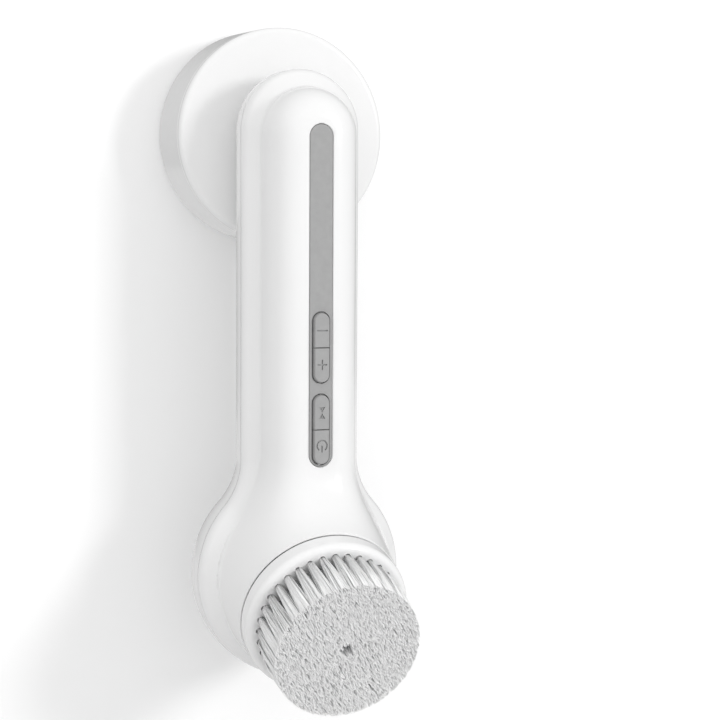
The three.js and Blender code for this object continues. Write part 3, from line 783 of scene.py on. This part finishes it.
def key_outline(name, inset, square_inset):
    """Round at the outer end and square at the inner end, as seen from the front."""
    low, high = KEY_BOXES[name]
    half = KEY_HALF - inset
    if name in ("minus", "direction"):
        end = low.y + square_inset
        return [*arc(0, high.y - KEY_HALF, half, 0, math.pi, 24), (-half, end), (half, end)]
    end = high.y - square_inset
    return [*arc(0, low.y + KEY_HALF, half, math.pi, 2 * math.pi, 24), (half, end), (-half, end)]


def keypad_strip():
    edge = STRIP_EDGE_ROUND
    rings = [level(stadium(STRIP_HALF, STRIP_HIGH.y, STRIP_LOW.y), STRIP_LOW.z)]
    for i in range(6):
        angle = math.pi / 2 * i / 5
        inset = edge * (1 - math.cos(angle))
        outline = stadium(STRIP_HALF - inset, STRIP_HIGH.y - inset, STRIP_LOW.y + inset)
        rings.append(level(outline, CREST_Z - edge * (1 - math.sin(angle))))
    strip = loft("keypad_strip_skin", rings)
    openings = []
    for upper, lower in (("minus", "plus"), ("direction", "power")):
        top = KEY_BOXES[upper][1].y + KEY_GAP
        end = KEY_BOXES[lower][0].y - KEY_GAP
        openings.append(prism("opening", stadium(KEY_HALF + KEY_GAP, top, end), CREST_Z - 5, CREST_Z + 5))
    combine(strip, "DIFFERENCE", *openings)
    smooth(strip)
    dress(strip, "handle", "key_rubber", MATERIALS["key_rubber"], "keypad_strip")


ICON_LINE = 0.42
ICON_DEPTH = 0.4


def engraving(outline, top):
    return prism("engraving", outline, top - ICON_DEPTH, top + 1)


def bar_outline(centre, width, height):
    left, right = centre[0] - width / 2, centre[0] + width / 2
    low, high = centre[1] - height / 2, centre[1] + height / 2
    return [(left, low), (right, low), (right, high), (left, high)]


def ring_sector(centre, radius, start, end):
    outer = arc(*centre, radius + ICON_LINE / 2, start, end, 40)
    inner = arc(*centre, radius - ICON_LINE / 2, end, start, 40)
    return outer + inner


def triangle_cut(centre, reach, points_up, top):
    """A triangle drawn as a line, which leaves its own middle standing."""
    turn = math.pi / 2 if points_up else -math.pi / 2
    outer = arc(*centre, reach, turn, turn + 2 * math.pi, 3)[:3]
    inner = arc(*centre, reach - 2 * ICON_LINE, turn, turn + 2 * math.pi, 3)[:3]
    return combine(engraving(outer, top), "DIFFERENCE", prism("middle", inner, top - 2, top + 2))


def key_engravings(name, top):
    x, y = key_centre(name)
    if name == "minus":
        return [engraving(bar_outline((x, y - 0.2), 3.3, ICON_LINE), top)]
    if name == "plus":
        across = engraving(bar_outline((x, y + 0.3), 3.0, ICON_LINE), top)
        return [across, engraving(bar_outline((x, y + 0.3), ICON_LINE, 3.0), top)]
    if name == "direction":
        return [triangle_cut((x, y + 0.9), 1.1, False, top), triangle_cut((x, y - 1.4), 1.1, True, top)]
    centre = (x, y + 0.6)
    gap = math.radians(35)
    ring = ring_sector(centre, 1.55, -math.pi / 2 + gap, 3 * math.pi / 2 - gap)
    return [engraving(ring, top), engraving(bar_outline((x, centre[1] - 1.0), ICON_LINE, 2.0), top)]


def key_cap(name):
    low, high = KEY_BOXES[name]
    top = high.z
    edge = KEY_EDGE_ROUND
    rings = [level(key_outline(name, 0, KEY_SQUARE_INSET), CREST_Z - KEY_FOOT)]
    for i in range(6):
        angle = math.pi / 2 * i / 5
        inset = edge * (1 - math.cos(angle))
        outline = key_outline(name, KEY_DRAFT + inset, KEY_SQUARE_INSET + inset)
        rings.append(level(outline, top - edge * (1 - math.sin(angle))))
    key = loft(f"key_{name}_cap", rings)
    combine(key, "UNION", rod(KEY_STEM_RADIUS, low.z, CREST_Z, key_centre(name)))
    combine(key, "DIFFERENCE", *key_engravings(name, top))
    smooth(key)
    dress(key, f"key_{name}_body", "key_rubber", MATERIALS["key_rubber"], f"key_{name}")


# ---------------------------------------------------------------- the brush head


def tuft_places():
    places = []
    for ring, (radius, count) in enumerate(TUFT_RINGS):
        places += spots(count, radius, ring * 0.37)
    return places


def brush_carrier():
    low, top = CARRIER_LOW, CARRIER_TOP
    plug = ((0, low), (PLUG_RADIUS, low), (PLUG_RADIUS, RING_LOW))
    lip = ((PLUG_RADIUS, RING_LOW), (BRUSH_RADIUS, RING_LOW), (BRUSH_RADIUS, top))
    edge = ((BRUSH_RADIUS, RING_LOW), (BRUSH_RADIUS, top), (0, top))
    profile = [(0, low), *rounded(*plug, 0.4), (PLUG_RADIUS, RING_LOW), *rounded(*lip, 0.12, 4)]
    profile += [*rounded(*edge, CARRIER_ROUND, 12), (0, top)]
    disc = turned("brush_carrier_skin", profile, FINE_SIDES, tilted=True)
    socket = rod(SOCKET_RADIUS, low - 1, SOCKET_TOP, tilted=True, sides=6)
    bottom = top - TUFT_HOLE_DEPTH
    holes = joined([rod(TUFT_HOLE, bottom, top + 1, spot, True, 16) for spot in tuft_places()])
    combine(disc, "DIFFERENCE", socket, holes)
    smooth(disc)
    dress(disc, "brush_head", "brush_plastic", MATERIALS["brush_plastic"], "brush_carrier")


def filament_path(centre, way, stray, tip):
    """Places along one filament: it fans out of its hole and bends back a little at its tip."""
    root = CARRIER_TOP - TUFT_ROOT
    path = []
    for share in (0.0, 0.5, 1.0):
        spread = TUFT_BASE + (TUFT_TIP - TUFT_BASE) * share**0.8
        x, y = [
            centre[i] * (1 - TUFT_LEAN * share) + way[i] * spread + stray[i] * share
            for i in (0, 1)
        ]
        limit = TUFT_FACE_RADIUS + TUFT_BULGE * math.sin(math.pi * share)
        shrink = min(1, limit / math.hypot(x, y))
        path.append((x * shrink, y * shrink, root + (tip - root) * share))
    return path


def bristles():
    """Tufts of tapered filaments, cut off level at one face."""
    chance = random.Random(7)
    points = []
    faces = []
    for centre in tuft_places():
        for _ in range(FILAMENTS):
            reach = math.sqrt(chance.random())
            angle = chance.uniform(0, 2 * math.pi)
            way = (reach * math.cos(angle), reach * math.sin(angle))
            stray = (chance.gauss(0, 0.15), chance.gauss(0, 0.15))
            tip = TUFT_TOP + chance.uniform(-0.35, 0.1)
            turn = chance.uniform(0, 2 * math.pi)
            start = len(points)
            for (x, y, z), radius in zip(filament_path(centre, way, stray, tip), FILAMENT_RADII):
                for x_out, y_out in spots(3, radius, turn):
                    points.append((x + x_out, y + y_out, z))
            for a in range(start, start + 6):
                b = a + 1 if (a - start) % 3 < 2 else a - 2
                faces.append((a, b, b + 3, a + 3))
            faces.append((start + 2, start + 1, start))
            faces.append((start + 6, start + 7, start + 8))
    tufts = new_object("bristle_tufts", points, faces, tilted=True)
    tufts.data.polygons.foreach_set("use_smooth", [True] * len(tufts.data.polygons))
    dress(tufts, "brush_head", "bristle", MATERIALS["bristle"], "bristle_block")


# ---------------------------------------------------------------- the CAD pieces that stay


def finish_cad_nodes(shown):
    """Each CAD node that nothing replaces takes the material of its slot in the record."""
    slots = {part["node"]: part["material_slot"] for part in frame["record"]["subparts"]}
    for name, node in frame["nodes"].items():
        if name in shown:
            continue
        node.data.materials.clear()
        node.data.materials.append(MATERIALS[slots[name]])


# ---------------------------------------------------------------- the studio


def studio_material(name, shade, see_through_back=False):
    finish = Finish(name, Roughness=0.9, IOR=1.3)
    finish.tint(finish.noise(0.01, 2), grey(shade - 0.004), grey(shade + 0.004))
    if see_through_back:
        nodes = finish.tree.nodes
        clear = nodes.new("ShaderNodeBsdfTransparent")
        side = nodes.new("ShaderNodeNewGeometry")
        mix = nodes.new("ShaderNodeMixShader")
        finish.link(side.outputs["Backfacing"], mix.inputs["Fac"])
        finish.link(finish.shader.outputs["BSDF"], mix.inputs[1])
        finish.link(clear.outputs["BSDF"], mix.inputs[2])
        finish.link(mix.outputs["Shader"], nodes["Material Output"].inputs["Surface"])
    return finish.material


WALL_HALF = 900
WALL_TOP_Y = 700
WALL_Z = -0.3      # just behind the foam pad
FLOOR_Y = -260
FLOOR_HALF = 1500


def studio():
    sides = (-WALL_HALF, WALL_HALF)
    corners = [(x, FLOOR_Y, WALL_Z) for x in sides] + [(x, WALL_TOP_Y, WALL_Z) for x in sides[::-1]]
    wall = new_object("studio_wall", corners, [(0, 1, 2, 3)])
    wall.data.materials.append(studio_material("studio_wall", 0.96, see_through_back=True))
    wall.visible_diffuse = False
    wall.visible_glossy = False
    wall.visible_transmission = False
    wall.visible_shadow = False
    sides = (-FLOOR_HALF, FLOOR_HALF)
    corners = [(x, FLOOR_Y, FLOOR_HALF) for x in sides] + [(x, FLOOR_Y, -FLOOR_HALF) for x in sides[::-1]]
    floor = new_object("studio_floor", corners, [(0, 1, 2, 3)])
    floor.data.materials.append(studio_material("studio_floor", 0.8))

    bpy.context.scene.world = soft_sky()
    bpy.context.scene.view_settings.view_transform = "Standard"


SKY_FRONT = (-0.52, -0.74, 0.42)   # the brightest way: the front, a little left and above
SKY_LOW = 0.24
SKY_HIGH = 1.21
SKY_POWER = 1.2


def soft_sky():
    """Light from all round, brightest from the front and falling off evenly to the back."""
    world = bpy.data.worlds.new("studio_world")
    world.use_nodes = True
    tree = world.node_tree
    place = tree.nodes.new("ShaderNodeTexCoord")
    facing = tree.nodes.new("ShaderNodeVectorMath")
    facing.operation = "DOT_PRODUCT"
    facing.inputs[1].default_value = Vector(SKY_FRONT).normalized()
    share = tree.nodes.new("ShaderNodeMapRange")
    share.inputs["From Min"].default_value = -1
    power = tree.nodes.new("ShaderNodeMath")
    power.operation = "POWER"
    power.inputs[1].default_value = SKY_POWER
    strength = tree.nodes.new("ShaderNodeMapRange")
    strength.inputs["To Min"].default_value = SKY_LOW
    strength.inputs["To Max"].default_value = SKY_HIGH
    background = tree.nodes["Background"]
    background.inputs["Color"].default_value = (1, 1, 1, 1)
    tree.links.new(place.outputs["Generated"], facing.inputs[0])
    tree.links.new(facing.outputs["Value"], share.inputs["Value"])
    tree.links.new(share.outputs["Result"], power.inputs[0])
    tree.links.new(power.outputs["Value"], strength.inputs["Value"])
    tree.links.new(strength.outputs["Result"], background.inputs["Strength"])
    return world


def softbox(name, aim, direction, distance, width, height, power):
    """A rectangular lamp that far from what it is aimed at, in metres."""
    lamp = bpy.data.lights.new(name, "AREA")
    lamp.shape = "RECTANGLE"
    lamp.size = width
    lamp.size_y = height
    lamp.energy = power
    obj = bpy.data.objects.new(name, lamp)
    bpy.context.scene.collection.objects.link(obj)
    way = Vector(direction).normalized()
    obj.location = Vector(aim) + way * distance
    obj.rotation_euler = way.to_track_quat("Z", "Y").to_euler()


def lights():
    """One lamp on the right, a little above, which gives the shadow on the left its edge."""
    middle = (0, -0.03, -0.07)
    softbox("key_light", middle, (0.7, -1, 0.29), distance=2.0, width=0.42, height=0.42, power=12.0)


CAMERA_AZIMUTH = -21.52     # degrees, positive to the right of straight in front
CAMERA_ELEVATION = 5.01
CAMERA_ROLL = 0.32
CAMERA_TARGET = Vector((23.21, -30.0, -69.27)) * MM
CAMERA_DISTANCE = 620 * MM
CAMERA_LENS = 99.66
CAMERA_SENSOR = 36


def camera():
    azimuth, elevation, roll = [
        math.radians(angle) for angle in (CAMERA_AZIMUTH, CAMERA_ELEVATION, CAMERA_ROLL)
    ]
    back = Vector((
        math.sin(azimuth) * math.cos(elevation),
        -math.cos(azimuth) * math.cos(elevation),
        math.sin(elevation),
    ))
    right = Vector((math.cos(azimuth), math.sin(azimuth), 0))
    up = back.cross(right)
    across = right * math.cos(roll) + up * math.sin(roll)
    upwards = up * math.cos(roll) - right * math.sin(roll)
    data = bpy.data.cameras.new("camera")
    data.lens = CAMERA_LENS
    data.sensor_width = CAMERA_SENSOR
    obj = bpy.data.objects.new("camera", data)
    bpy.context.scene.collection.objects.link(obj)
    rotation = Matrix((across, upwards, back)).transposed().to_4x4()
    obj.matrix_world = Matrix.Translation(CAMERA_TARGET + back * CAMERA_DISTANCE) @ rotation
    bpy.context.scene.camera = obj


camera()
studio()
lights()
dock_pieces()
rear_shell()
seam_gasket()
front_shell()
keypad_strip()
for key_name in KEY_NAMES:
    key_cap(key_name)
brush_carrier()
bristles()
REPLACED = {
    "dock_housing", "dock_face", "adhesive_pad", "rear_shell", "front_shell", "shell_gasket", "keypad_strip",
    "brush_carrier", "bristle_block", *[f"key_{name}" for name in KEY_NAMES],
}
finish_cad_nodes(REPLACED)
